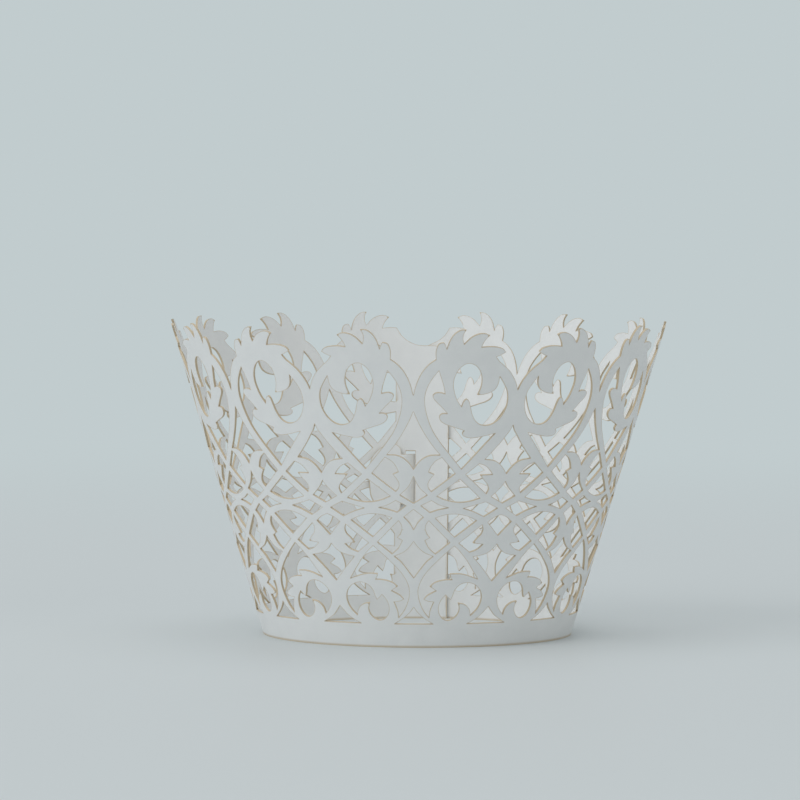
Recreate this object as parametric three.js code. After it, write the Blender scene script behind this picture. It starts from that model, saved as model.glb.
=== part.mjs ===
// Cupcake wrapper: one thin sheet of card, cut through with a scroll-and-heart lattice,
// rolled into an open cone and closed at the back by a tongue that goes through a slit.
// Millimetres, Z up, the foot on z = 0, the front of the wrapper towards -Y.
// The whole pattern is laid out flat, the way the sheet is cut, and then rolled.
import * as THREE from "three";

const FOOT_RADIUS = 26;
const FLARE = 0.3;
const SLANT_HEIGHT = 55.5;
const CARD = 0.35;
const BAND_HEIGHT = 4.25;
const REPEATS = 7;
// How far each plain closing strip reaches from the line where the two ends meet.
const STRIP_EDGE = 4.7;
// The outer end stops this far past that line, and lies this far clear of the inner one.
const OUTER_END = 0.2;
const LAP_GAP = 0.25;
const LAP_RAMP = 5;
// The tongue on the outer end dips through a slit in the inner one and lies behind it.
const TONGUE_MIDDLE = 25;
const TONGUE_LENGTH = 9.2;
const NECK_WIDTH = 9;
const NECK_REST = 0.6;
const EAR = 1.7;
const DIP_OFFSET = 0.7;
const DIP_LENGTH = 2.2;
const SLIT_INSET = 0.25;
const SLIT_END_GAP = 0.6;
// How closely the straight edges follow the drawn curves.
const OUTLINE_TOLERANCE = 0.17;

const columns = 2 * REPEATS;
const tilt = Math.atan(FLARE);
const sinTilt = Math.sin(tilt);
const cosTilt = Math.cos(tilt);
// Distance on the flat sheet from the cone's point to the foot edge.
const footRho = FOOT_RADIUS / sinTilt;
// Half the angle that one column, half a repeat, takes on the flat sheet.
const halfColumn = (Math.PI / columns) * sinTilt;

// The pattern below was drawn on a sheet of this foot radius, flare, repeat, band and height.
// A drawn point keeps its share of the column and of the height above the band.
const DRAWN = { foot: 26, flare: 0.3, repeats: 7, band: 4.25, height: 55.5 };
const drawnSin = Math.sin(Math.atan(DRAWN.flare));
const drawnRho = DRAWN.foot / drawnSin;
const drawnHalf = (Math.PI / DRAWN.repeats / 2) * drawnSin;
const raised = (slant) =>
  BAND_HEIGHT + ((slant - DRAWN.band) * (SLANT_HEIGHT - BAND_HEIGHT)) / (DRAWN.height - DRAWN.band);
function placed(x, y, corner) {
  const rho = footRho + raised(Math.hypot(x, y + drawnRho) - drawnRho);
  const angle = (Math.atan2(x, y + drawnRho) / drawnHalf) * halfColumn;
  return { x: rho * Math.sin(angle), y: rho * Math.cos(angle) - footRho, corner };
}
// x runs across from the column's middle and y up it. p lies on a curve and c is a corner.
const p = (x, y) => placed(x, y, false);
const c = (x, y) => placed(x, y, true);
// A corner on the column's left (-1) or right (1) mirror line.
const m = (side, y) => placed(side * (y + drawnRho) * Math.tan(drawnHalf), y, true);

// The rim of one column from the right mirror line to the left one:
// the back of the scroll, then four leaf lobes that curl towards the right.
const rim = [
  m(1, 44.8), p(8.45, 45.8), p(7.85, 47.1), p(7.05, 48.25), p(6.05, 49.25), p(5.2, 50),
  c(4.6, 50.8), p(5.3, 51.05), c(6.15, 51.5), p(5.75, 52.05), p(4.9, 52.4), p(3.4, 52.6),
  c(1.95, 52.5), p(2.3, 53.35), p(2.75, 54), c(3.25, 54.5), p(2.4, 54.85), p(1.4, 54.8), p(0.3, 54.3),
  c(-0.95, 53.05), p(-1.2, 53.9), p(-1.15, 54.7), c(-0.75, 55.5), p(-1.6, 55.45), p(-2.5, 54.9),
  p(-3.3, 53.7), c(-3.75, 52.15), p(-3.95, 52.75), c(-4.25, 53.25), p(-4.95, 53.1), p(-5.4, 52.3),
  p(-5.5, 51.3), c(-5.4, 50.3), p(-6.25, 49.65), p(-7.15, 48.6), p(-7.9, 47.2), p(-8.4, 45.6), m(-1, 44),
];

// The openings that lie whole inside one column.
const ringOpening = [
  c(-0.7, 42.3), p(-1.5, 43.5), p(-2, 44.8), p(-2.25, 46.1), p(-2.05, 47.6), p(-1.3, 49), p(0, 49.75),
  p(1.1, 49.4), p(1.95, 48.45), p(2.35, 47.3), p(2.4, 46.3), p(2.2, 45.3),
  c(1.8, 44.3), p(3, 44.4), p(4, 44.7), p(4.8, 45.25), p(5.2, 46),
  c(5.4, 47.35), p(6.25, 46), p(6.85, 44.8), p(7.05, 43.6), p(6.95, 42.3), p(6.5, 41.05), p(5.7, 39.95),
  p(4.6, 39.2), p(3.5, 39), p(2.5, 39.25), p(1.7, 40), p(1.1, 41.2), p(0.75, 42.5), p(0.45, 43.35),
  p(0.05, 43.65), p(-0.4, 43.2),
];
const heartOpening = [
  c(0, 31.5), p(-2.1, 34.05), p(-3.85, 36.2), p(-5.1, 38), p(-6, 40), p(-6.5, 41.6), p(-6.75, 43.1),
  p(-6.7, 44.4), p(-6.4, 45.6), p(-5.8, 46.9),
  c(-4.8, 48.4), p(-4.3, 47), p(-3.9, 45.9),
  c(-3.55, 44.5), p(-4.3, 44.68), p(-5.05, 44.6), p(-5.5, 44.2), p(-5.4, 43.65), p(-4.95, 43.1), p(-4.1, 42.3),
  c(-2.95, 41.1), p(-3.7, 41.1), p(-4.15, 40.8), p(-4.25, 40.3), p(-3.95, 39.75), p(-3.3, 39.3), p(-1.9, 38.8),
  c(0, 38.15), p(-0.3, 37.7), p(-0.1, 37.25), p(0.6, 36.95), p(1.6, 36.88), p(3.2, 37.1),
  c(5.3, 37.55), p(3, 35),
];
const scrollOpening = [
  c(-0.3, 8.5), p(0.02, 9.25), p(0.25, 10.1), p(0.75, 10.85), p(1.5, 11.35), p(2.35, 11.5), p(3.3, 11.25),
  p(4.15, 10.6), p(4.75, 9.7), p(4.95, 8.65), p(4.75, 7.6), p(4.2, 6.6),
  c(3.25, 5.6), p(3.1, 6.5), p(2.7, 7.2), p(2, 7.7),
  c(0.95, 7.95), p(1.2, 7.2), p(1.2, 6.5), p(0.9, 5.8), p(0.25, 5.15), p(-0.5, 4.85), p(-1.3, 5.1),
  p(-1.9, 5.8), p(-2.2, 6.8), p(-2.15, 7.7), p(-1.85, 8.5),
  c(-1.2, 9.4), p(-0.75, 8.9),
];
const leafOpening = [
  c(-0.3, 18), p(0.55, 17.15), p(1.5, 16), p(2.4, 14.7), p(3.2, 13.4),
  c(4.05, 12.05), p(3, 12.5), p(2, 12.88), p(0.8, 13.12),
  c(-0.7, 13.1), p(-0.6, 12.6),
  c(-0.3, 12.1), p(-1.3, 12.07), p(-2.35, 11.85), p(-3.25, 11.45),
  c(-3.9, 10.8), p(-3.4, 10.5),
  c(-2.8, 10.1), p(-3.5, 9.7), p(-4.3, 9.15),
  c(-4.75, 8.5), p(-4.1, 8.2),
  c(-3.1, 8.1), p(-3.4, 7.25), p(-3.62, 6.5),
  c(-3.7, 5.3), p(-4.55, 6.35), p(-5.2, 7.6), p(-5.6, 8.85), p(-5.75, 10), p(-5.5, 11.35), p(-4.95, 12.65),
  p(-4.05, 14), p(-2.9, 15.35), p(-1.65, 16.7),
];
const upperFan = [
  c(-0.15, 29.75), c(-3.75, 26.72), p(-2.4, 26.15), p(-1, 25.8), p(0.5, 25.7), p(1.9, 25.88), c(3.45, 26.32),
];
const lowerFan = [
  c(-3.75, 22.9), c(-0.35, 19.6), c(3.15, 22.42), p(1.4, 23.25), p(0, 23.58), p(-1.3, 23.6), p(-2.5, 23.38),
];
const leftLens = [
  c(-6.25, 24.95), c(-4.7, 23.85), p(-3.3, 24.38), c(-1.7, 24.75), p(-3.2, 25.15), c(-4.6, 25.9),
];
const rightLens = [
  c(0.75, 24.62), p(2.6, 23.98), c(4.4, 23.05), c(6.65, 24.35), c(4.5, 25.6), p(2.7, 25.12),
];
const upperLeftEye = [
  c(-3.35, 33.45), p(-4.3, 32.85), p(-4.95, 31.95), c(-5.35, 30.9), c(-4.4, 30.5), p(-4.95, 29.7),
  p(-5.3, 28.85), p(-5.2, 28.1), c(-4.7, 27.5), c(-1, 30.7),
];
const upperRightEye = [
  c(2.95, 32.35), c(0.8, 30.55), c(4.5, 27.05), p(4.83, 27.8), p(4.55, 28.65), p(3.9, 29.45), c(3.2, 30.4),
  c(5.35, 30.35), p(4.8, 31.15), p(3.95, 31.95),
];
const lowerLeftEye = [
  c(-4.8, 22.35), p(-5.2, 21.6), p(-5.22, 20.8), p(-4.9, 20.05), c(-4.4, 19.4), c(-5.2, 18.9), p(-4.3, 17.4),
  c(-3.35, 16.6), c(-1.1, 18.65),
];
const lowerRightEye = [
  c(4.15, 21.6), c(0.45, 18.52), c(2.35, 16.88), p(3.45, 17.25), c(4.55, 18.15), c(2.8, 18.45),
  p(3.45, 19.3), p(4.12, 20), p(4.38, 20.75),
];
const wholeOpenings = [
  ringOpening, heartOpening, scrollOpening, leafOpening, upperFan, lowerFan, leftLens, rightLens,
  upperLeftEye, upperRightEye, lowerLeftEye, lowerRightEye,
];

// Half openings on the left mirror line, each listed upwards along its outer side:
// the triangle on the band, three diamonds, and the tall one between two hearts.
const leftHalves = [
  [m(-1, 4.05), c(-2.95, 4.2), p(-4, 4.82), p(-4.9, 5.47), p(-5.7, 6.22), m(-1, 7)],
  [m(-1, 12.2), p(-5.6, 13.9), p(-4.7, 15.2), c(-3.7, 16.15), p(-5.4, 16.87), p(-6.35, 17.7), m(-1, 18.6)],
  [m(-1, 20.7), p(-6.5, 22.1), c(-5.75, 22.98), p(-6.6, 23.62), m(-1, 24.2)],
  [m(-1, 25.3), c(-5.35, 26.85), p(-6.7, 28.05), p(-7.3, 28.95), m(-1, 30)],
  [
    m(-1, 31.2), p(-7.1, 32.5), p(-6.4, 33.2), p(-5.5, 33.7), c(-3.7, 33.9), p(-5, 35.4), p(-6.7, 37.8),
    p(-7.95, 40), m(-1, 41.2),
  ],
];
// The same on the right mirror line.
const rightHalves = [
  [m(1, 4.06), c(2.7, 4.21), p(3.9, 4.82), p(4.75, 5.35), p(5.45, 6.05), m(1, 7)],
  [m(1, 11.5), p(4.6, 14.2), c(3, 16.05), p(4.3, 16.22), p(5.4, 16.55), p(6.25, 17.1), m(1, 18)],
  [m(1, 19.5), p(6.1, 20.8), c(5.15, 22), p(6.2, 22.75), m(1, 23.15)],
  [m(1, 25.2), c(5.4, 26.5), p(6.4, 27.4), p(7.15, 28.15), m(1, 29)],
  [
    m(1, 30.3), p(7.15, 31.4), p(6.5, 32.15), p(5.8, 32.65), c(3.85, 33.1), p(5.45, 34.8), p(6.4, 35.9),
    p(7.2, 36.95), p(7.9, 37.85), m(1, 38.8),
  ],
];

// A smooth curve through the points of a run between two corners.
function smoothRun(run) {
  if (run.length < 3) return run.map((q) => new THREE.Vector2(q.x, q.y));
  const points = run.map((q) => new THREE.Vector3(q.x, q.y, 0));
  const curve = new THREE.CatmullRomCurve3(points, false, "centripetal");
  return curve.getPoints((run.length - 1) * 6).map((q) => new THREE.Vector2(q.x, q.y));
}

// The few points of a run that keep every other point within the tolerance.
function thinned(run) {
  const keep = new Array(run.length).fill(false);
  keep[0] = true;
  keep[run.length - 1] = true;
  const stack = [[0, run.length - 1]];
  while (stack.length) {
    const [a, b] = stack.pop();
    const along = run[b].clone().sub(run[a]).normalize();
    let far = 0;
    let at = -1;
    for (let i = a + 1; i < b; i++) {
      const off = Math.abs(run[i].clone().sub(run[a]).cross(along));
      if (off > far) {
        far = off;
        at = i;
      }
    }
    if (far > OUTLINE_TOLERANCE) {
      keep[at] = true;
      stack.push([a, at], [at, b]);
    }
  }
  return run.filter((q, i) => keep[i]);
}

// An open or closed outline as plain points, with its corners kept.
function outline(points, closed) {
  const all = closed ? [...points, points[0]] : points;
  const out = [];
  let from = 0;
  for (let i = 1; i < all.length; i++) {
    if (!all[i].corner) continue;
    out.push(...thinned(smoothRun(all.slice(from, i + 1))).slice(0, -1));
    from = i;
  }
  if (!closed) out.push(new THREE.Vector2(all.at(-1).x, all.at(-1).y));
  return out;
}

// A point of the foot edge, at a share of the column's width from its middle.
const onFoot = (share) => new THREE.Vector2(
  footRho * Math.sin(2 * share * halfColumn),
  footRho * Math.cos(2 * share * halfColumn) - footRho,
);

// The outer edge of one column, anticlockwise from the foot's left corner.
function columnEdge() {
  const edge = [-0.5, -0.25, 0, 0.25, 0.5].map(onFoot);
  for (const half of rightHalves) edge.push(...outline(half, false));
  edge.push(...outline(rim, false));
  for (const half of [...leftHalves].reverse()) edge.push(...outline(half, false).reverse());
  return edge;
}

// Rolls a flat point. turn is the column's middle, flip mirrors it and lift is along the normal.
// The foot edge is cut level, so the wrapper stands on a flat ring.
function rolled(q, turn, flip, lift) {
  const rho = Math.hypot(q.x, q.y + footRho);
  const angle = turn + (flip * Math.atan2(q.x, q.y + footRho)) / sinTilt;
  const slant = rho - footRho;
  const level = slant < 1e-6;
  const radius = level ? FOOT_RADIUS + lift / cosTilt : rho * sinTilt + lift * cosTilt;
  const z = level ? 0 : slant * cosTilt - lift * sinTilt;
  return new THREE.Vector3(radius * Math.sin(angle), -radius * Math.cos(angle), z);
}

// How far a flat point lies past the closing line, and how high along it.
const across = (q) => q.x * Math.cos(halfColumn) - (q.y + footRho) * Math.sin(halfColumn);
const upward = (q) => q.x * Math.sin(halfColumn) + (q.y + footRho) * Math.cos(halfColumn) - footRho;
const stripPoint = (w, s) => new THREE.Vector2(
  w * Math.cos(halfColumn) + (footRho + s) * Math.sin(halfColumn),
  (footRho + s) * Math.cos(halfColumn) - w * Math.sin(halfColumn) - footRho,
);
const stripFoot = (w) => stripPoint(w, Math.sqrt(footRho * footRho - w * w) - footRho);
function crossing(a, b, at) {
  const share = (at - across(a)) / (across(b) - across(a));
  return stripPoint(at, upward(a) + share * (upward(b) - upward(a)));
}

// The part of a region on one side of a line that runs beside the closing line.
// A region is a list of loops, outer ones anticlockwise and openings clockwise.
// It returns the new loops and the heights at which the line is crossed.
function oneSide(loops, at, side) {
  const kept = [];
  const chains = [];
  const crossings = [];
  for (const loop of loops) {
    const inside = loop.map((q) => side * (across(q) - at) > 0);
    if (inside.every(Boolean)) kept.push(loop);
    if (inside.every(Boolean) || !inside.some(Boolean)) continue;
    const start = inside.findIndex((v, i) => v && !inside.at(i - 1));
    let chain = null;
    for (let n = 0; n < loop.length; n++) {
      const i = (start + n) % loop.length;
      const after = (i + 1) % loop.length;
      const before = (i + loop.length - 1) % loop.length;
      if (!inside[i]) continue;
      if (!inside[before]) chain = [crossing(loop[before], loop[i], at)];
      chain.push(loop[i]);
      if (!inside[after]) {
        chain.push(crossing(loop[i], loop[after], at));
        chains.push(chain);
      }
    }
  }
  for (const chain of chains) {
    crossings.push({ chain, first: true, height: upward(chain[0]) });
    crossings.push({ chain, first: false, height: upward(chain.at(-1)) });
  }
  crossings.sort((a, b) => a.height - b.height);
  const used = new Set();
  for (const chain of chains) {
    if (used.has(chain)) continue;
    const loop = [];
    let now = chain;
    while (!used.has(now)) {
      used.add(now);
      loop.push(...now);
      const end = crossings.findIndex((e) => e.chain === now && !e.first);
      now = crossings[end ^ 1].chain;
    }
    kept.push(loop);
  }
  return { loops: kept, heights: crossings.map((e) => e.height) };
}

const directed = (loop, area) => (THREE.ShapeUtils.area(loop) * area < 0 ? [...loop].reverse() : loop);
function contains(loop, q) {
  let odd = false;
  loop.forEach((a, i) => {
    const b = loop[(i + 1) % loop.length];
    if (a.y > q.y === b.y > q.y) return;
    if (q.x < a.x + ((q.y - a.y) / (b.y - a.y)) * (b.x - a.x)) odd = !odd;
  });
  return odd;
}

const corners = [];
function face(a, b, d) {
  corners.push(a.x, a.y, a.z, b.x, b.y, b.z, d.x, d.y, d.z);
}

// Both skins and the cut edges of a flat region. place rolls a point of one skin,
// and joined says which stretches of the edge carry on into the next piece of sheet.
function card(loops, mirrored, place, joined) {
  const turned = (a, b, d) => (mirrored ? face(a, d, b) : face(a, b, d));
  const edges = loops.filter((l) => THREE.ShapeUtils.area(l) > 0);
  const holes = loops.filter((l) => THREE.ShapeUtils.area(l) < 0);
  for (const edge of edges) {
    const within = holes.filter((h) => contains(edge, h[0]));
    const flat = [edge, ...within].flat();
    for (const triangle of THREE.ShapeUtils.triangulateShape(edge, within)) {
      const [a, b, d] = triangle.map((i) => flat[i]);
      turned(place(a, 1), place(b, 1), place(d, 1));
      turned(place(a, -1), place(d, -1), place(b, -1));
    }
  }
  for (const loop of loops) {
    loop.forEach((a, i) => {
      const b = loop[(i + 1) % loop.length];
      if (joined(a, b)) return;
      turned(place(a, -1), place(b, -1), place(b, 1));
      turned(place(a, -1), place(b, 1), place(a, 1));
    });
  }
}

const onMirror = (q, side) => Math.abs(Math.atan2(q.x, q.y + footRho) - side * halfColumn) < 1e-9;
const joinsColumn = (a, b) => [-1, 1].some((side) => onMirror(a, side) && onMirror(b, side));
const turnOf = (i) => ((i - columns / 2 + 0.5) * 2 * Math.PI) / columns;
const flipOf = (i) => (i % 2 === 0 ? -1 : 1);

// The lattice of one column, and all the columns but the two at the back.
const lattice = [
  directed(columnEdge(), 1),
  ...wholeOpenings.map((o) => directed(outline(o, true), -1)),
];
for (let i = 1; i < columns - 1; i++) {
  const place = (q, skin) => rolled(q, turnOf(i), flipOf(i), (skin * CARD) / 2);
  card(lattice, flipOf(i) < 0, place, joinsColumn);
}

// In the two end columns the lattice stops at a plain strip, and the strips lap over each other.
const endLattice = oneSide(lattice, -STRIP_EDGE, -1);
const on = (q, at) => Math.abs(across(q) - at) < 1e-7;
// Whether the lattice carries on past this stretch of the strip's edge.
function latticeReaches(a, b) {
  const middle = (upward(a) + upward(b)) / 2;
  return endLattice.heights.filter((h) => h < middle).length % 2 === 1;
}
// The strip is laid in narrow upright bands, so that it follows the cone.
function endColumn(strip, bands, index, lift) {
  const mirrored = flipOf(index) < 0;
  const place = (q, skin) => rolled(q, turnOf(index), flipOf(index), lift(across(q)) + (skin * CARD) / 2);
  const meetsStrip = (a, b) => on(a, -STRIP_EDGE) && on(b, -STRIP_EDGE);
  card(endLattice.loops, mirrored, place, (a, b) => joinsColumn(a, b) || meetsStrip(a, b));
  let rest = strip;
  let from = -STRIP_EDGE;
  for (const band of [...bands, Infinity]) {
    const here = oneSide(rest, band, -1).loops;
    rest = oneSide(rest, band, 1).loops;
    const left = from;
    card(here, mirrored, place, (a, b) => {
      if (meetsStrip(a, b)) return latticeReaches(a, b);
      return (on(a, left) && on(b, left)) || (on(a, band) && on(b, band));
    });
    from = band;
  }
}

const stripInnerEdge = [...endLattice.heights].reverse().map((h) => stripPoint(-STRIP_EDGE, h));
const shoulder = [
  stripPoint(-STRIP_EDGE + 3.2, raised(49.6)),
  stripPoint(-STRIP_EDGE + 1.8, raised(50.3)),
  stripPoint(-STRIP_EDGE + 0.8, raised(51.2)),
];

// The inner end, with the slit.
const dipStart = OUTER_END + DIP_OFFSET;
const dipEnd = dipStart + DIP_LENGTH;
const slitStart = dipStart + SLIT_INSET;
const slitEnd = dipEnd - SLIT_INSET;
const slitHalf = NECK_WIDTH / 2 + SLIT_END_GAP;
const innerStrip = [
  stripFoot(-STRIP_EDGE / 2), stripFoot(0), stripFoot(STRIP_EDGE / 2), stripFoot(STRIP_EDGE),
  stripPoint(STRIP_EDGE, raised(47.4)), stripPoint(STRIP_EDGE - 0.5, raised(48.6)),
  stripPoint(STRIP_EDGE - 1.7, raised(49.1)),
  ...shoulder, ...stripInnerEdge,
];
const slit = [
  stripPoint(-slitEnd, TONGUE_MIDDLE - slitHalf), stripPoint(-slitEnd, TONGUE_MIDDLE + slitHalf),
  stripPoint(-slitStart, TONGUE_MIDDLE + slitHalf), stripPoint(-slitStart, TONGUE_MIDDLE - slitHalf),
];
const innerBands = [-(slitStart + slitEnd) / 2, STRIP_EDGE * 0.1, STRIP_EDGE * 0.6];
endColumn([directed(innerStrip, 1), directed(slit, -1)], innerBands, 0, () => 0);

// The outer end rides up over the inner one, and its eared tongue dips through the slit.
const neckEnd = dipEnd + NECK_REST;
const tongueEnd = OUTER_END + TONGUE_LENGTH;
const neck = NECK_WIDTH / 2;
const head = neck + EAR;
const tongueHalf = [
  [OUTER_END, neck], [neckEnd, neck], [neckEnd + 0.2, head - 0.6], [neckEnd + 0.9, head],
  [tongueEnd - 3, head - 0.2], [tongueEnd - 1.4, head - 1.2], [tongueEnd - 0.3, head - 2.8],
  [tongueEnd, head - 4.6],
];
const outerStrip = [
  stripFoot(-STRIP_EDGE / 2), stripFoot(OUTER_END),
  ...tongueHalf.map(([w, s]) => stripPoint(w, TONGUE_MIDDLE - s)),
  ...[...tongueHalf].reverse().map(([w, s]) => stripPoint(w, TONGUE_MIDDLE + s)),
  stripPoint(OUTER_END, raised(47.6)), stripPoint(OUTER_END - 0.5, raised(48.9)),
  ...shoulder, ...stripInnerEdge,
];
const smooth = (t) => THREE.MathUtils.smoothstep(t, 0, 1);
function outerLift(w) {
  const up = smooth((w + STRIP_EDGE + 0.4 + LAP_RAMP) / LAP_RAMP);
  const down = smooth((w - dipStart) / DIP_LENGTH);
  return (CARD + LAP_GAP) * (up - 2 * down);
}
const outerBands = [
  -STRIP_EDGE * 0.45, OUTER_END - 0.1,
  ...[0, 1, 2, 3, 4].map((k) => dipStart + 0.03 + (k * DIP_LENGTH) / 4),
  tongueEnd - 4.1, tongueEnd - 2.1,
];
endColumn([directed(outerStrip, 1)], outerBands, columns - 1, outerLift);

const geometry = new THREE.BufferGeometry();
geometry.setAttribute("position", new THREE.Float32BufferAttribute(corners, 3));
geometry.computeBoundingBox();
const middle = geometry.boundingBox.getCenter(new THREE.Vector3());
// The origin is the middle of the foot plane under the whole wrapper.
geometry.translate(-middle.x, -middle.y, 0);
geometry.computeVertexNormals();
const wrapper = new THREE.Mesh(geometry, new THREE.MeshStandardMaterial({ color: 0xf2f2ee }));
wrapper.name = "wrapper";
const group = new THREE.Group();
group.add(wrapper);
export default group;
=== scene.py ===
"""Cupcake wrapper: a sheet of thin white card with a laser-cut lattice, rolled to an open cone."""
from math import atan, atan2, ceil, cos, hypot, pi, radians, sin, sqrt, tan

import bmesh
import bpy
import numpy as np
from mathutils import Matrix, Vector
from mathutils.geometry import delaunay_2d_cdt, interpolate_bezier


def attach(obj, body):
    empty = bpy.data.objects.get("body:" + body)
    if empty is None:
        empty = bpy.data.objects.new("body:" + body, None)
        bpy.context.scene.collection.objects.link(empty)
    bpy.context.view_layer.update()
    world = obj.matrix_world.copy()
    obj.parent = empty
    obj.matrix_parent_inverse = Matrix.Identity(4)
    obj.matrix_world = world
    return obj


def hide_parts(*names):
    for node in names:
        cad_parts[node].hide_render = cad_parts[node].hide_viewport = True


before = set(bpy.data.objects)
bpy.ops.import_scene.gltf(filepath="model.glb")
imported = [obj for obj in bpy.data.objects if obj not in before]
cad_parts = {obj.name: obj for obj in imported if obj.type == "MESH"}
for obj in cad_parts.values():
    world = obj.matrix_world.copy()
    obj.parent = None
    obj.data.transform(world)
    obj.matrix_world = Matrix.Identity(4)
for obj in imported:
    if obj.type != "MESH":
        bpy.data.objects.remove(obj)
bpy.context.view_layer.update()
bpy.ops.object.select_all(action="DESELECT")

# THE CARD
# The whole wrapper is one sheet of 0.35 mm pearl-white card, cut by laser and rolled by hand.
# It is drawn and cut flat, in millimetres with the cone's point at the origin, then rolled.
# A tongue on the outer end goes through a slit in the inner end and holds the cone closed.
foot_radius = 26.0
flare = 0.3
card_thickness = 0.35
half_repeats = 14
sin_tilt = sin(atan(flare))
cos_tilt = cos(atan(flare))
# In the flat sheet: the foot edge's radius, and half of the angle that a half repeat takes up.
foot_rho = foot_radius / sin_tilt
half_column = pi / half_repeats * sin_tilt


# Points of the drawing, x across from a half repeat's middle and y up from the foot edge:
# a bend lies on a flowing line, a tip is sharp, and a seam tip lies on the mirror line.
def bend(x, y):
    return (x, y + foot_rho, False)


def tip(x, y):
    return (x, y + foot_rho, True)


def seam(side, y):
    return (side * (y + foot_rho) * tan(half_column), y + foot_rho, True)


# The rim of a half repeat, from right to left: a scroll's back and four curling leaf lobes.
leafy_rim = [
    seam(1, 44.8), bend(8.45, 45.8), bend(7.85, 47.1), bend(7.05, 48.25), bend(6.05, 49.25),
    bend(5.2, 50), tip(4.6, 50.8), bend(5.3, 51.05), tip(6.15, 51.5), bend(5.75, 52.05),
    bend(4.9, 52.4), bend(3.4, 52.6), tip(1.95, 52.5), bend(2.3, 53.35), bend(2.75, 54),
    tip(3.25, 54.5), bend(2.4, 54.85), bend(1.4, 54.8), bend(0.3, 54.3), tip(-0.95, 53.05),
    bend(-1.2, 53.9), bend(-1.15, 54.7), tip(-0.75, 55.5), bend(-1.6, 55.45), bend(-2.5, 54.9),
    bend(-3.3, 53.7), tip(-3.75, 52.15), bend(-3.95, 52.75), tip(-4.25, 53.25),
    bend(-4.95, 53.1), bend(-5.4, 52.3), bend(-5.5, 51.3), tip(-5.4, 50.3), bend(-6.25, 49.65),
    bend(-7.15, 48.6), bend(-7.9, 47.2), bend(-8.4, 45.6), seam(-1, 44),
]

# The openings that the laser cuts whole inside a half repeat, from the rim to the foot.
ring_under_rim = [
    tip(-0.7, 42.3), bend(-1.5, 43.5), bend(-2, 44.8), bend(-2.25, 46.1), bend(-2.05, 47.6),
    bend(-1.3, 49), bend(0, 49.75), bend(1.1, 49.4), bend(1.95, 48.45), bend(2.35, 47.3),
    bend(2.4, 46.3), bend(2.2, 45.3), tip(1.8, 44.3), bend(3, 44.4), bend(4, 44.7),
    bend(4.8, 45.25), bend(5.2, 46), tip(5.4, 47.35), bend(6.25, 46), bend(6.85, 44.8),
    bend(7.05, 43.6), bend(6.95, 42.3), bend(6.5, 41.05), bend(5.7, 39.95), bend(4.6, 39.2),
    bend(3.5, 39), bend(2.5, 39.25), bend(1.7, 40), bend(1.1, 41.2), bend(0.75, 42.5),
    bend(0.45, 43.35), bend(0.05, 43.65), bend(-0.4, 43.2),
]
half_heart = [
    tip(0, 31.5), bend(-2.1, 34.05), bend(-3.85, 36.2), bend(-5.1, 38), bend(-6, 40),
    bend(-6.5, 41.6), bend(-6.75, 43.1), bend(-6.7, 44.4), bend(-6.4, 45.6), bend(-5.8, 46.9),
    tip(-4.8, 48.4), bend(-4.3, 47), bend(-3.9, 45.9), tip(-3.55, 44.5), bend(-4.3, 44.68),
    bend(-5.05, 44.6), bend(-5.5, 44.2), bend(-5.4, 43.65), bend(-4.95, 43.1),
    bend(-4.1, 42.3), tip(-2.95, 41.1), bend(-3.7, 41.1), bend(-4.15, 40.8), bend(-4.25, 40.3),
    bend(-3.95, 39.75), bend(-3.3, 39.3), bend(-1.9, 38.8), tip(0, 38.15), bend(-0.3, 37.7),
    bend(-0.1, 37.25), bend(0.6, 36.95), bend(1.6, 36.88), bend(3.2, 37.1), tip(5.3, 37.55),
    bend(3, 35),
]
scroll_on_band = [
    tip(-0.3, 8.5), bend(0.02, 9.25), bend(0.25, 10.1), bend(0.75, 10.85), bend(1.5, 11.35),
    bend(2.35, 11.5), bend(3.3, 11.25), bend(4.15, 10.6), bend(4.75, 9.7), bend(4.95, 8.65),
    bend(4.75, 7.6), bend(4.2, 6.6), tip(3.25, 5.6), bend(3.1, 6.5), bend(2.7, 7.2),
    bend(2, 7.7), tip(0.95, 7.95), bend(1.2, 7.2), bend(1.2, 6.5), bend(0.9, 5.8),
    bend(0.25, 5.15), bend(-0.5, 4.85), bend(-1.3, 5.1), bend(-1.9, 5.8), bend(-2.2, 6.8),
    bend(-2.15, 7.7), bend(-1.85, 8.5), tip(-1.2, 9.4), bend(-0.75, 8.9),
]
leaf_over_scroll = [
    tip(-0.3, 18), bend(0.55, 17.15), bend(1.5, 16), bend(2.4, 14.7), bend(3.2, 13.4),
    tip(4.05, 12.05), bend(3, 12.5), bend(2, 12.88), bend(0.8, 13.12), tip(-0.7, 13.1),
    bend(-0.6, 12.6), tip(-0.3, 12.1), bend(-1.3, 12.07), bend(-2.35, 11.85),
    bend(-3.25, 11.45), tip(-3.9, 10.8), bend(-3.4, 10.5), tip(-2.8, 10.1), bend(-3.5, 9.7),
    bend(-4.3, 9.15), tip(-4.75, 8.5), bend(-4.1, 8.2), tip(-3.1, 8.1), bend(-3.4, 7.25),
    bend(-3.62, 6.5), tip(-3.7, 5.3), bend(-4.55, 6.35), bend(-5.2, 7.6), bend(-5.6, 8.85),
    bend(-5.75, 10), bend(-5.5, 11.35), bend(-4.95, 12.65), bend(-4.05, 14), bend(-2.9, 15.35),
    bend(-1.65, 16.7),
]
upper_fan = [
    tip(-0.15, 29.75), tip(-3.75, 26.72), bend(-2.4, 26.15), bend(-1, 25.8), bend(0.5, 25.7),
    bend(1.9, 25.88), tip(3.45, 26.32),
]
lower_fan = [
    tip(-3.75, 22.9), tip(-0.35, 19.6), tip(3.15, 22.42), bend(1.4, 23.25), bend(0, 23.58),
    bend(-1.3, 23.6), bend(-2.5, 23.38),
]
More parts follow.
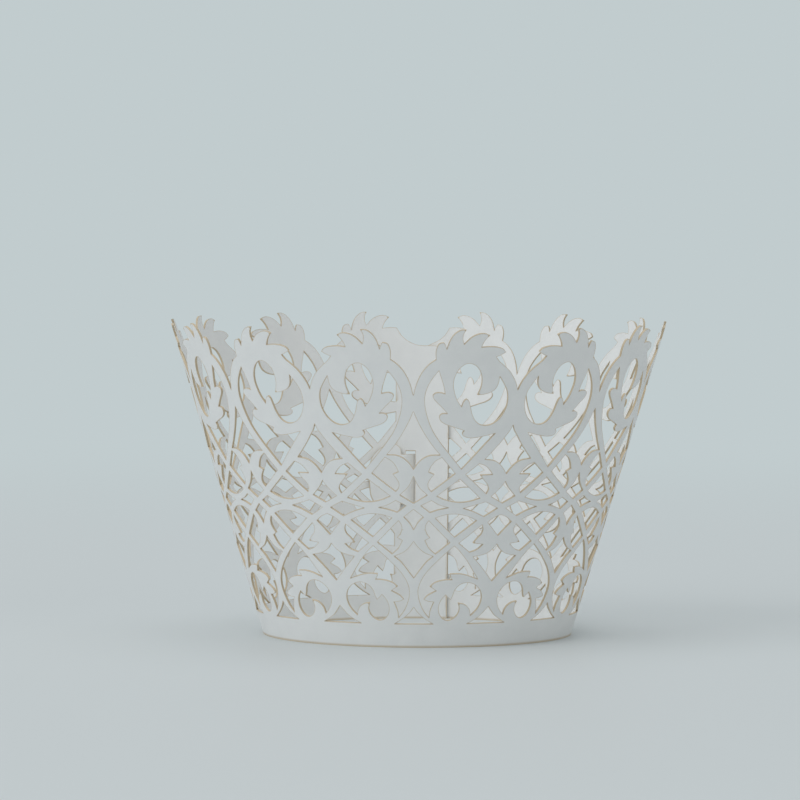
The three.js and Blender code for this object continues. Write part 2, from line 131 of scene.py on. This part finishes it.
left_lens = [
    tip(-6.25, 24.95), tip(-4.7, 23.85), bend(-3.3, 24.38), tip(-1.7, 24.75),
    bend(-3.2, 25.15), tip(-4.6, 25.9),
]
right_lens = [
    tip(0.75, 24.62), bend(2.6, 23.98), tip(4.4, 23.05), tip(6.65, 24.35), tip(4.5, 25.6),
    bend(2.7, 25.12),
]
upper_left_eye = [
    tip(-3.35, 33.45), bend(-4.3, 32.85), bend(-4.95, 31.95), tip(-5.35, 30.9),
    tip(-4.4, 30.5), bend(-4.95, 29.7), bend(-5.3, 28.85), bend(-5.2, 28.1), tip(-4.7, 27.5),
    tip(-1, 30.7),
]
upper_right_eye = [
    tip(2.95, 32.35), tip(0.8, 30.55), tip(4.5, 27.05), bend(4.83, 27.8), bend(4.55, 28.65),
    bend(3.9, 29.45), tip(3.2, 30.4), tip(5.35, 30.35), bend(4.8, 31.15), bend(3.95, 31.95),
]
lower_left_eye = [
    tip(-4.8, 22.35), bend(-5.2, 21.6), bend(-5.22, 20.8), bend(-4.9, 20.05), tip(-4.4, 19.4),
    tip(-5.2, 18.9), bend(-4.3, 17.4), tip(-3.35, 16.6), tip(-1.1, 18.65),
]
lower_right_eye = [
    tip(4.15, 21.6), tip(0.45, 18.52), tip(2.35, 16.88), bend(3.45, 17.25), tip(4.55, 18.15),
    tip(2.8, 18.45), bend(3.45, 19.3), bend(4.12, 20), bend(4.38, 20.75),
]
openings = [
    ring_under_rim, half_heart, scroll_on_band, leaf_over_scroll, upper_fan, lower_fan,
    left_lens, right_lens, upper_left_eye, upper_right_eye, lower_left_eye, lower_right_eye,
]

# The openings that the mirror lines halve, each listed upwards along its outer side:
# a triangle on the band, three diamonds, and the tall one between two hearts.
halves_on_left = [
    [seam(-1, 4.05), tip(-2.95, 4.2), bend(-4, 4.82), bend(-4.9, 5.47), bend(-5.7, 6.22),
     seam(-1, 7)],
    [seam(-1, 12.2), bend(-5.6, 13.9), bend(-4.7, 15.2), tip(-3.7, 16.15), bend(-5.4, 16.87),
     bend(-6.35, 17.7), seam(-1, 18.6)],
    [seam(-1, 20.7), bend(-6.5, 22.1), tip(-5.75, 22.98), bend(-6.6, 23.62), seam(-1, 24.2)],
    [seam(-1, 25.3), tip(-5.35, 26.85), bend(-6.7, 28.05), bend(-7.3, 28.95), seam(-1, 30)],
    [seam(-1, 31.2), bend(-7.1, 32.5), bend(-6.4, 33.2), bend(-5.5, 33.7), tip(-3.7, 33.9),
     bend(-5, 35.4), bend(-6.7, 37.8), bend(-7.95, 40), seam(-1, 41.2)],
]
halves_on_right = [
    [seam(1, 4.06), tip(2.7, 4.21), bend(3.9, 4.82), bend(4.75, 5.35), bend(5.45, 6.05),
     seam(1, 7)],
    [seam(1, 11.5), bend(4.6, 14.2), tip(3, 16.05), bend(4.3, 16.22), bend(5.4, 16.55),
     bend(6.25, 17.1), seam(1, 18)],
    [seam(1, 19.5), bend(6.1, 20.8), tip(5.15, 22), bend(6.2, 22.75), seam(1, 23.15)],
    [seam(1, 25.2), tip(5.4, 26.5), bend(6.4, 27.4), bend(7.15, 28.15), seam(1, 29)],
    [seam(1, 30.3), bend(7.15, 31.4), bend(6.5, 32.15), bend(5.8, 32.65), tip(3.85, 33.1),
     bend(5.45, 34.8), bend(6.4, 35.9), bend(7.2, 36.95), bend(7.9, 37.85), seam(1, 38.8)],
]

# The longest straight step that a curved cut is drawn with.
cut_step = 0.42


def pull(behind, here, ahead):
    """The bezier handle of a drawn point, towards the point ahead of it."""
    spot = Vector(here[:2])
    onward = Vector(ahead[:2]) - spot
    if here[2]:
        return spot + onward / 3
    back = spot - Vector(behind[:2])
    lean = back * (onward.length / back.length) + onward * (back.length / onward.length)
    return spot + lean.normalized() * onward.length / 3


def flowing(points, closed=True):
    """The laser's path through the drawn points, as short straight steps."""
    count = len(points)
    path = []
    for i in range(count if closed else count - 1):
        before, a, b, after = [points[(i + k) % count] for k in (-1, 0, 1, 2)]
        start, end = Vector(a[:2]), Vector(b[:2])
        steps = max(2, ceil((end - start).length / cut_step))
        curve = interpolate_bezier(start, pull(before, a, b), pull(after, b, a), end, steps + 1)
        path += [Vector((q[0], q[1])) for q in curve[:-1]]
    if not closed:
        path.append(Vector(points[-1][:2]))
    return path


def foot_point(share):
    """A point of the foot edge, at a share of the half repeat's width from its middle."""
    angle = 2 * share * half_column
    return Vector((foot_rho * sin(angle), foot_rho * cos(angle)))


def strokes(path):
    """The straight strokes of a closed path."""
    return list(zip(path, path[1:] + path[:1]))


# The card's own edge round one half repeat, anticlockwise from the foot's left corner.
foot_steps = 28
column_edge = [foot_point(k / foot_steps - 0.5) for k in range(foot_steps + 1)]
for half in halves_on_right:
    column_edge += flowing(half, closed=False)
column_edge += flowing(leafy_rim, closed=False)
for half in reversed(halves_on_left):
    column_edge += flowing(half, closed=False)[::-1]
lattice = strokes(column_edge)
for opening in openings:
    lattice += strokes(flowing(opening))


def inside(cuts, spots):
    """Whether each spot lies on card: inside an odd number of the closed cuts."""
    odd = np.zeros(len(spots), bool)
    for a, b in cuts:
        if a.y != b.y:
            between = (spots[:, 1] < a.y) != (spots[:, 1] < b.y)
            odd ^= between & (spots[:, 0] < a.x + (spots[:, 1] - a.y) * (b.x - a.x) / (b.y - a.y))
    return odd


def clear_of(cuts, spots):
    """The distance from each spot to the nearest cut."""
    start = np.array([a for a, b in cuts])
    along = np.array([b - a for a, b in cuts])
    out = spots[:, None] - start
    share = np.clip((out * along).sum(2) / (along * along).sum(1), 0, 1)
    return np.hypot(*np.moveaxis(out - share[..., None] * along, 2, 0)).min(1)


# Points closer than this are taken as one, and faces smaller than a sliver are left out.
point_play = 1e-4
sliver = 2e-4


def faces_on_card(cuts, loose_spots, on_card):
    """Divides the flat card into triangles that follow the cuts and use the loose spots too."""
    dots = [q for cut in cuts for q in cut] + loose_spots
    pairs = [(2 * i, 2 * i + 1) for i in range(len(cuts))]
    spots, _, faces, *_ = delaunay_2d_cdt(dots, pairs, [], 0, point_play)
    corners = np.array([[spots[i] for i in f] for f in faces])
    (ax, ay), (bx, by) = (corners[:, 1] - corners[:, 0]).T, (corners[:, 2] - corners[:, 0]).T
    keep = on_card(corners.mean(1)) & (abs(ax * by - ay * bx) > sliver)
    return spots, [f for f, kept in zip(faces, keep) if kept]


# How far off the mirror line, as an angle, a point may lie and still be on it.
mirror_line_play = 1e-6


def is_seam(a, b):
    """Whether a stroke lies on a half repeat's mirror line, where the next one joins it."""
    off_line = [abs(abs(atan2(q.x, q.y)) - half_column) for q in (a, b)]
    return max(off_line) < mirror_line_play and a.x * b.x > 0


# The faces beside a cut are as wide as the singe that fades out over them.
singe_width = 0.17
# The side of an even face, the rise from one row of them to the next, and their clearance
# from the cuts.
face_size = 1.0
row_rise = 0.87 * face_size
cut_clearance = 0.35


def seam_marks(low, high):
    """Points along a seam: close to both ends the width of a singe, then evenly."""
    length = (high - low).length
    if length < 3 * singe_width:
        return [low, high]
    steps = max(1, round(length / face_size))
    even = [singe_width + (length - 2 * singe_width) * k / steps for k in range(steps + 1)]
    return [low + (high - low) * m / length for m in (0, *even, length)]


def flat_card(name, cuts, on_card):
    """A flat piece of card with even faces, and a narrow row of them beside each cut."""
    spots, faces = faces_on_card(cuts, [], on_card)
    ways = {way for f in faces for way in zip(f, f[1:] + f[:1])}
    onward = {i: j for i, j in sorted(ways) if (j, i) not in ways}
    border = [(spots[i], spots[j]) for i, j in onward.items()]
    rims = [(i, j) for i, j in onward.items() if not is_seam(spots[i], spots[j])]
    edges = [(spots[i], spots[j]) for i, j in rims]
    for a, b in border:
        if is_seam(a, b):
            line = seam_marks(*sorted((a, b), key=lambda q: q.y))
            edges += list(zip(line, line[1:]))
    # One point inwards of each stroke, and three round each corner that points into the card.
    beside = []
    for i, j in rims:
        a, b, c = spots[i], spots[j], spots[onward[j]]
        inward = Vector((a.y - b.y, b.x - a.x)).normalized() * singe_width
        beside.append((a + b) / 2 + inward)
        turned = Vector((b.y - c.y, c.x - b.x)).normalized() * singe_width
        if inward.cross(turned) < -0.4 * singe_width ** 2 or inward.dot(turned) < 0:
            between = (inward + turned).normalized() * singe_width
            beside += [b + inward, b + between, b + turned]
    beside = np.array(beside)
    beside = beside[clear_of(edges, beside) > 0.75 * singe_width]
    xs, ys = np.array([q for stroke in border for q in stroke]).T
    rows = np.arange(ys.min(), ys.max(), row_rise)
    grid = np.array([(x + (k % 2) * face_size / 2, y) for k, y in enumerate(rows)
                     for x in np.arange(xs.min(), xs.max(), face_size)])
    grid = grid[on_card(grid)]
    grid = grid[clear_of(border, grid) > cut_clearance]
    loose = [Vector(q) for q in np.concatenate((beside, grid)).tolist()]
    spots, faces = faces_on_card(edges, loose, on_card)
    used = sorted({i for f in faces for i in f})
    number = {i: k for k, i in enumerate(used)}
    mesh = bpy.data.meshes.new(name)
    mesh.from_pydata([(*spots[i], 0) for i in used], [], [[number[i] for i in f] for f in faces])
    piece = bpy.data.objects.new(name, mesh)
    bpy.context.scene.collection.objects.link(piece)
    return piece


# One half repeat, cut round and pierced.
column = flat_card("half_repeat", lattice, lambda spots: inside(lattice, spots))


def edit(piece):
    """Opens a piece in edit mode with all of it selected."""
    bpy.ops.object.select_all(action="DESELECT")
    bpy.context.view_layer.objects.active = piece
    piece.select_set(True)
    bpy.ops.object.mode_set(mode="EDIT")
    bpy.ops.mesh.select_all(action="SELECT")


# The way across the line where the two ends meet, at the edge of an end's half repeat.
closing_side = Vector((cos(half_column), -sin(half_column)))


def strip_point(w, s):
    """The point that lies w past the line where the two ends meet, and s up that line."""
    rho = foot_rho + s
    return Vector((w * cos(half_column) + rho * sin(half_column),
                   rho * cos(half_column) - w * sin(half_column)))


def strip_line(points):
    """A flowing path through points given as (past the line, height, whether it is a tip)."""
    return flowing([(*strip_point(w, s), is_tip) for w, s, is_tip in points], closed=False)


def strip_foot(first, last):
    """The foot edge of a strip, from one distance past the line to another."""
    steps = ceil((last - first) / cut_step)
    ws = [first + (last - first) * k / steps for k in range(steps + 1)]
    return [strip_point(w, sqrt(foot_rho ** 2 - w ** 2) - foot_rho) for w in ws]


# Both plain strips start this far before the line. The inner one reaches as far past it, and
# the outer one stops just past it.
strip_edge = 4.7
outer_end = 0.2
# The outer end rises over the last of the lattice and lies a little clear of the inner one.
lap_gap = 0.25
lap_ramp = 5.0
ramp_end = -strip_edge - 0.4
# The tongue's neck dips through the slit, and its ears keep it there.
tongue_middle = 25.0
tongue_length = 9.2
neck_half = 4.5
neck_rest = 0.6
ear = 1.7
dip_start = outer_end + 0.7
dip_length = 2.2
dip_end = dip_start + dip_length
slit_inset = 0.25
slit_half = neck_half + 0.6


def end_column(name, strip):
    """A half repeat whose lattice stops at a plain closing strip, drawn by the strip's cuts."""
    cuts = list(strip)
    for a, b in lattice:
        past_a = a.dot(closing_side) + strip_edge
        past_b = b.dot(closing_side) + strip_edge
        crossing = a.lerp(b, past_a / (past_a - past_b)) if past_a * past_b < 0 else None
        if past_a < 0 or past_b < 0:
            cuts.append((a if past_a <= 0 else crossing, b if past_b <= 0 else crossing))

    def on_card(spots):
        beyond = spots @ np.array(closing_side) > -strip_edge
        return np.where(beyond, inside(strip, spots), inside(lattice, spots))

    return flat_card(name, cuts, on_card)


# The top of both strips runs down from the last scroll's leaf in one easy line.
leaf_crossings = []
for a, b in lattice:
    past_a = a.dot(closing_side) + strip_edge
    past_b = b.dot(closing_side) + strip_edge
    if past_a * past_b < 0:
        leaf_crossings.append(a.lerp(b, past_a / (past_a - past_b)))
leaf_top = max(q.length for q in leaf_crossings)
shoulder_top = sqrt(leaf_top ** 2 - strip_edge ** 2) - foot_rho
shoulder = [
    (3.2 - strip_edge, 49.6, False), (1.8 - strip_edge, 50.3, False),
    (0.8 - strip_edge, 51.2, True), (-strip_edge, shoulder_top, True),
]

# The inner end is a plain strip with the slit for the tongue.
slit_start = dip_start + slit_inset
slit_end = dip_end - slit_inset
inner_edge = strip_foot(-strip_edge, strip_edge) + strip_line([
    (strip_edge, 47.4, True), (strip_edge - 0.5, 48.6, False),
    (strip_edge - 1.7, 49.1, False), *shoulder,
])
slit_foot = tongue_middle - slit_half
slit_top = tongue_middle + slit_half
slit_corners = [
    (-slit_start, slit_foot, True), (-slit_start, slit_top, True),
    (-slit_end, slit_top, True), (-slit_end, slit_foot, True),
]
slit = flowing([(*strip_point(w, s), is_tip) for w, s, is_tip in slit_corners])
inner_end = end_column("inner_end", strokes(inner_edge) + strokes(slit))

# The outer end stops early, except for an eared tongue that dips through the slit.
neck_end = dip_end + neck_rest
tongue_end = outer_end + tongue_length
head_half = neck_half + ear
tongue_side = [
    (outer_end, neck_half, True), (neck_end, neck_half, True),
    (neck_end + 0.2, head_half - 0.6, False),
    (neck_end + 0.9, head_half, False), (tongue_end - 3, head_half - 0.2, False),
    (tongue_end - 1.4, head_half - 1.2, False), (tongue_end - 0.3, head_half - 2.8, False),
    (tongue_end, head_half - 4.6, False),
]
tongue = [(w, tongue_middle - s, is_tip) for w, s, is_tip in tongue_side]
tongue += [(w, tongue_middle + s, is_tip) for w, s, is_tip in reversed(tongue_side)]
outer_edge = strip_foot(-strip_edge, outer_end) + strip_line(
    [*tongue, (outer_end, 47.6, True), (outer_end - 0.5, 48.9, False), *shoulder]
)
outer_end_piece = end_column("outer_end", strokes(outer_edge))
# Close upright rows of edges let the outer end bend over the inner one, and its tongue dip.
bend_rows = 8
bend_places = [ramp_end + 0.7 * (k - bend_rows + 1) for k in range(bend_rows)]
bend_places += [dip_start + dip_length * k / bend_rows for k in range(bend_rows + 1)]
across = closing_side.to_3d()
edit(outer_end_piece)
for w in bend_places:
    bpy.ops.mesh.select_all(action="SELECT")
    bpy.ops.mesh.bisect(plane_co=w * across, plane_no=across, threshold=1e-5)
bpy.ops.object.mode_set(mode="OBJECT")

# The sheet: fourteen half repeats side by side, every other one turned over.
parts = [inner_end] + [column] * (half_repeats - 2) + [outer_end_piece]
copies = []
for i, part in enumerate(parts):
    mirrored = i % 2 == 0
    place = Matrix.Rotation(-(2 * i - half_repeats + 1) * half_column, 4, "Z")
    if mirrored:
        place = place @ Matrix.Scale(-1, 4, (1, 0, 0))
    copy = bpy.data.objects.new("card", part.data.copy())
    copy.data.transform(place)
    if mirrored:
        copy.data.flip_normals()
    bpy.context.scene.collection.objects.link(copy)
    copies.append(copy)
for part in (column, inner_end, outer_end_piece):
    bpy.data.objects.remove(part)
bpy.ops.object.select_all(action="DESELECT")
for copy in copies:
    copy.select_set(True)
card = copies[0]
bpy.context.view_layer.objects.active = card
bpy.ops.object.join()
card.name = "pierced_card"
edit(card)
bpy.ops.mesh.remove_doubles(threshold=1e-3)
bpy.ops.object.mode_set(mode="OBJECT")

# The laser singes the cut edges, and the colour fades out over the narrow faces beside them.
card.data.attributes.new("singed", "FLOAT", "POINT")
sheet = bmesh.new()
sheet.from_mesh(card.data)
singed = sheet.verts.layers.float["singed"]
for v in sheet.verts:
    v[singed] = 1.0 if v.is_boundary else 0.0
sheet.to_mesh(card.data)
sheet.free()

thick = card.modifiers.new("card thickness", "SOLIDIFY")
thick.thickness = card_thickness
thick.offset = 0
thick.use_even_offset = False
bpy.ops.object.modifier_apply(modifier=thick.name)


def eased(t):
    """A share from 0 to 1 that starts and ends gently."""
    t = min(1.0, max(0.0, t))
    return t * t * (3 - 2 * t)


def lap_lift(w):
    """How far out the outer end stands: over the inner end, then as far in behind the slit."""
    up = eased((w - ramp_end + lap_ramp) / lap_ramp)
    down = eased((w - dip_start) / dip_length)
    return (card_thickness + lap_gap) * (up - 2 * down)


# Rolling the sheet, and from millimetres to metres. The lap at the back sets the cone's axis a
# little off the box's middle. The foot edge stays level, also where the lap lifts it outwards.
axis_place = Vector((0.012, -0.164, 0))
foot_play = 0.01
closing = half_repeats * half_column
rolled = bmesh.new()
rolled.from_mesh(card.data)
for v in rolled.verts:
    rho = hypot(v.co.x, v.co.y)
    turn = atan2(v.co.x, v.co.y)
    lift = v.co.z
    if turn > 0:
        lift += lap_lift(v.co.x * cos(closing) - v.co.y * sin(closing))
    slant = rho - foot_rho
    level = slant < foot_play
    radius = foot_radius + lift / cos_tilt if level else rho * sin_tilt + lift * cos_tilt
    height = 0 if level else max(0, slant * cos_tilt - v.co.z * sin_tilt)
    around = turn / sin_tilt
    v.co = (Vector((radius * sin(around), -radius * cos(around), height)) + axis_place) / 1000
rolled.to_mesh(card.data)
rolled.free()
bpy.ops.object.shade_smooth_by_angle(angle=radians(30))

# Pearl-white card: faint mottling, fine fibres in its face, and tan singed cuts.
pearl_card = bpy.data.materials.new("pearl_card")
pearl_card.use_nodes = True
nodes = pearl_card.node_tree.nodes
links = pearl_card.node_tree.links
shader = nodes["Principled BSDF"]
on_piece = nodes.new("ShaderNodeTexCoord").outputs["Object"]


def noise(place, waves, detail, roughness=0.5):
    """An uneven pattern over the card, with about so many waves to the metre."""
    pattern = nodes.new("ShaderNodeTexNoise")
    pattern.inputs["Scale"].default_value = waves
    pattern.inputs["Detail"].default_value = detail
    pattern.inputs["Roughness"].default_value = roughness
    links.new(place, pattern.inputs["Vector"])
    return pattern.outputs["Fac"]


def spread(value, span, result):
    """A value carried over from one span to another, and kept within it."""
    mapping = nodes.new("ShaderNodeMapRange")
    for name, limit in zip(("From Min", "From Max", "To Min", "To Max"), (*span, *result)):
        mapping.inputs[name].default_value = limit
    links.new(value, mapping.inputs["Value"])
    return mapping.outputs["Result"]


def worked_out(operation, first, second):
    """The result of one calculation on two values of the card's pattern."""
    step = nodes.new("ShaderNodeMath")
    step.operation = operation
    links.new(first, step.inputs[0])
    links.new(second, step.inputs[1])
    return step.outputs["Value"]


mottle = noise(on_piece, 260, 4, 0.6)
body = nodes.new("ShaderNodeMix")
body.data_type = "RGBA"
body.inputs["A"].default_value = (0.80, 0.81, 0.803, 1)
body.inputs["B"].default_value = (0.90, 0.905, 0.893, 1)
links.new(mottle, body.inputs["Factor"])

# The singe fades faster in some places than in others. The same tan is also painted over a band up
# to 0.45 mm above the foot.
edge_mask = nodes.new("ShaderNodeAttribute")
edge_mask.attribute_name = "singed"
falloff = spread(noise(on_piece, 900, 2), (0.3, 0.7), (2.0, 1.0))
at_cuts = worked_out("POWER", edge_mask.outputs["Fac"], falloff)
axes = nodes.new("ShaderNodeSeparateXYZ")
links.new(on_piece, axes.inputs["Vector"])
at_foot = spread(axes.outputs["Z"], (0.00005, 0.00045), (1, 0))
singe = nodes.new("ShaderNodeMix")
singe.data_type = "RGBA"
singe.inputs["B"].default_value = (0.62, 0.51, 0.355, 1)
links.new(body.outputs["Result"], singe.inputs["A"])
links.new(worked_out("MAXIMUM", at_cuts, at_foot), singe.inputs["Factor"])
links.new(singe.outputs["Result"], shader.inputs["Base Color"])

fibre_turn = nodes.new("ShaderNodeMapping")
fibre_turn.inputs["Rotation"].default_value = (0.4, 0.7, 0.3)
fibre_turn.inputs["Scale"].default_value = (1, 1, 0.3)
links.new(on_piece, fibre_turn.inputs["Vector"])
tooth = nodes.new("ShaderNodeBump")
tooth.inputs["Strength"].default_value = 0.5
tooth.inputs["Distance"].default_value = 0.00006
links.new(noise(fibre_turn.outputs["Vector"], 5200, 3), tooth.inputs["Height"])
links.new(tooth.outputs["Normal"], shader.inputs["Normal"])
links.new(spread(mottle, (0, 1), (0.42, 0.58)), shader.inputs["Roughness"])
shader.inputs["Sheen Weight"].default_value = 0.12
shader.inputs["Sheen Roughness"].default_value = 0.4
card.data.materials.clear()
card.data.materials.append(pearl_card)

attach(card, "root")
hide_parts("wrapper")

# THE TABLE
# A pale, slightly glossy tabletop. Near the wrapper it takes light and shadow as any surface,
# and further out it passes evenly into the pale background.
background = (0.535, 0.603, 0.617, 1)
table_radius = 9
bpy.ops.mesh.primitive_circle_add(vertices=96, radius=table_radius, fill_type="NGON")
table = bpy.context.object
table.name = "table"
table_top = bpy.data.materials.new("table_top")
table_top.use_nodes = True
top = table_top.node_tree
top_shader = top.nodes["Principled BSDF"]
top_shader.inputs["Base Color"].default_value = (0.675, 0.71, 0.715, 1)
top_shader.inputs["Roughness"].default_value = 0.5
top_shader.inputs["Specular IOR Level"].default_value = 0.35


def shown(tree):
    """1 on the rays that show a surface: straight to the camera, mirrored, or through glass."""
    ray = tree.nodes.new("ShaderNodeLightPath")
    kinds = ray.outputs["Is Camera Ray"]
    for kind in ("Is Glossy Ray", "Is Transmission Ray"):
        either = tree.nodes.new("ShaderNodeMath")
        either.operation = "MAXIMUM"
        tree.links.new(kinds, either.inputs[0])
        tree.links.new(ray.outputs[kind], either.inputs[1])
        kinds = either.outputs["Value"]
    return kinds


spot = top.nodes.new("ShaderNodeTexCoord")
reach = top.nodes.new("ShaderNodeVectorMath")
reach.operation = "LENGTH"
top.links.new(spot.outputs["Object"], reach.inputs[0])
far = top.nodes.new("ShaderNodeMapRange")
far.interpolation_type = "SMOOTHSTEP"
far.inputs["From Min"].default_value = 0.10
far.inputs["From Max"].default_value = 0.55
top.links.new(reach.outputs["Value"], far.inputs["Value"])
blend = top.nodes.new("ShaderNodeMath")
blend.operation = "MULTIPLY"
top.links.new(far.outputs["Result"], blend.inputs[0])
top.links.new(shown(top), blend.inputs[1])
even = top.nodes.new("ShaderNodeEmission")
even.inputs["Color"].default_value = background
mixed = top.nodes.new("ShaderNodeMixShader")
top.links.new(blend.outputs["Value"], mixed.inputs["Fac"])
top.links.new(top_shader.outputs["BSDF"], mixed.inputs[1])
top.links.new(even.outputs["Emission"], mixed.inputs[2])
top.links.new(mixed.outputs["Shader"], top.nodes["Material Output"].inputs["Surface"])
table.data.materials.append(table_top)

# THE LIGHT
# Soft daylight all round, with one large window-like source to the front left, a weak one
# on the right and a wide one overhead. The rays that show the room see the even background.
world = bpy.data.worlds.new("room_light")
bpy.context.scene.world = world
world.use_nodes = True
sky = world.node_tree
sky.nodes.clear()
sky_out = sky.nodes.new("ShaderNodeOutputWorld")
seen = sky.nodes.new("ShaderNodeBackground")
seen.inputs["Color"].default_value = background
light = sky.nodes.new("ShaderNodeBackground")
light.inputs["Color"].default_value = (0.93, 0.97, 1.0, 1)
light.inputs["Strength"].default_value = 0.40
choose = sky.nodes.new("ShaderNodeMixShader")
sky.links.new(shown(sky), choose.inputs["Fac"])
sky.links.new(light.outputs["Background"], choose.inputs[1])
sky.links.new(seen.outputs["Background"], choose.inputs[2])
sky.links.new(choose.outputs["Shader"], sky_out.inputs["Surface"])

wrapper_middle = Vector((0, 0, 0.03))


def soft_lamp(name, place, size, watts, tint):
    """A square soft source that looks at the wrapper's middle."""
    lamp = bpy.data.lights.new(name, "AREA")
    lamp.size = size
    lamp.energy = watts
    lamp.color = tint
    stand = bpy.data.objects.new(name, lamp)
    stand.location = place
    aim = wrapper_middle - Vector(place)
    stand.rotation_euler = aim.to_track_quat("-Z", "Y").to_euler()
    bpy.context.scene.collection.objects.link(stand)


soft_lamp("window", (-1.5, -1.0, 1.3), 1.9, 18.5, (0.975, 0.99, 1.0))
soft_lamp("fill", (1.6, -1.2, 0.9), 1.4, 3.5, (1.0, 0.965, 0.89))
soft_lamp("overhead", (0.1, 0.4, 2.0), 1.6, 10, (0.97, 0.99, 1.0))

# THE CAMERA
# A long lens, nearly level, as in the photograph. It stands in metres from the cone's axis and
# above the foot, and looks slightly down.
view_turn = radians(1.159)
distance = 0.8658
eye_height = 0.0839
pitch = 0.0511
yaw = -0.00355
roll = 0.00406
round_axis = Matrix.Rotation(view_turn, 4, "Z")
forward = Vector((cos(pitch) * sin(yaw), cos(pitch) * cos(yaw), -sin(pitch)))
level_right = Vector((cos(yaw), -sin(yaw), 0))
level_up = level_right.cross(forward)
right = cos(roll) * level_right + sin(roll) * level_up
up = cos(roll) * level_up - sin(roll) * level_right
lens = bpy.data.cameras.new("camera")
lens.sensor_fit = "HORIZONTAL"
lens.sensor_width = 36
lens.lens = 229.6
lens.clip_start = 0.05
lens.clip_end = 50
camera = bpy.data.objects.new("camera", lens)
bpy.context.scene.collection.objects.link(camera)
stance = Matrix((right, up, -forward)).transposed().to_4x4()
stance.translation = Vector((0, -distance, eye_height))
camera.matrix_world = Matrix.Translation(axis_place / 1000) @ round_axis @ stance
bpy.context.scene.camera = camera
bpy.context.scene.view_settings.view_transform = "Standard"
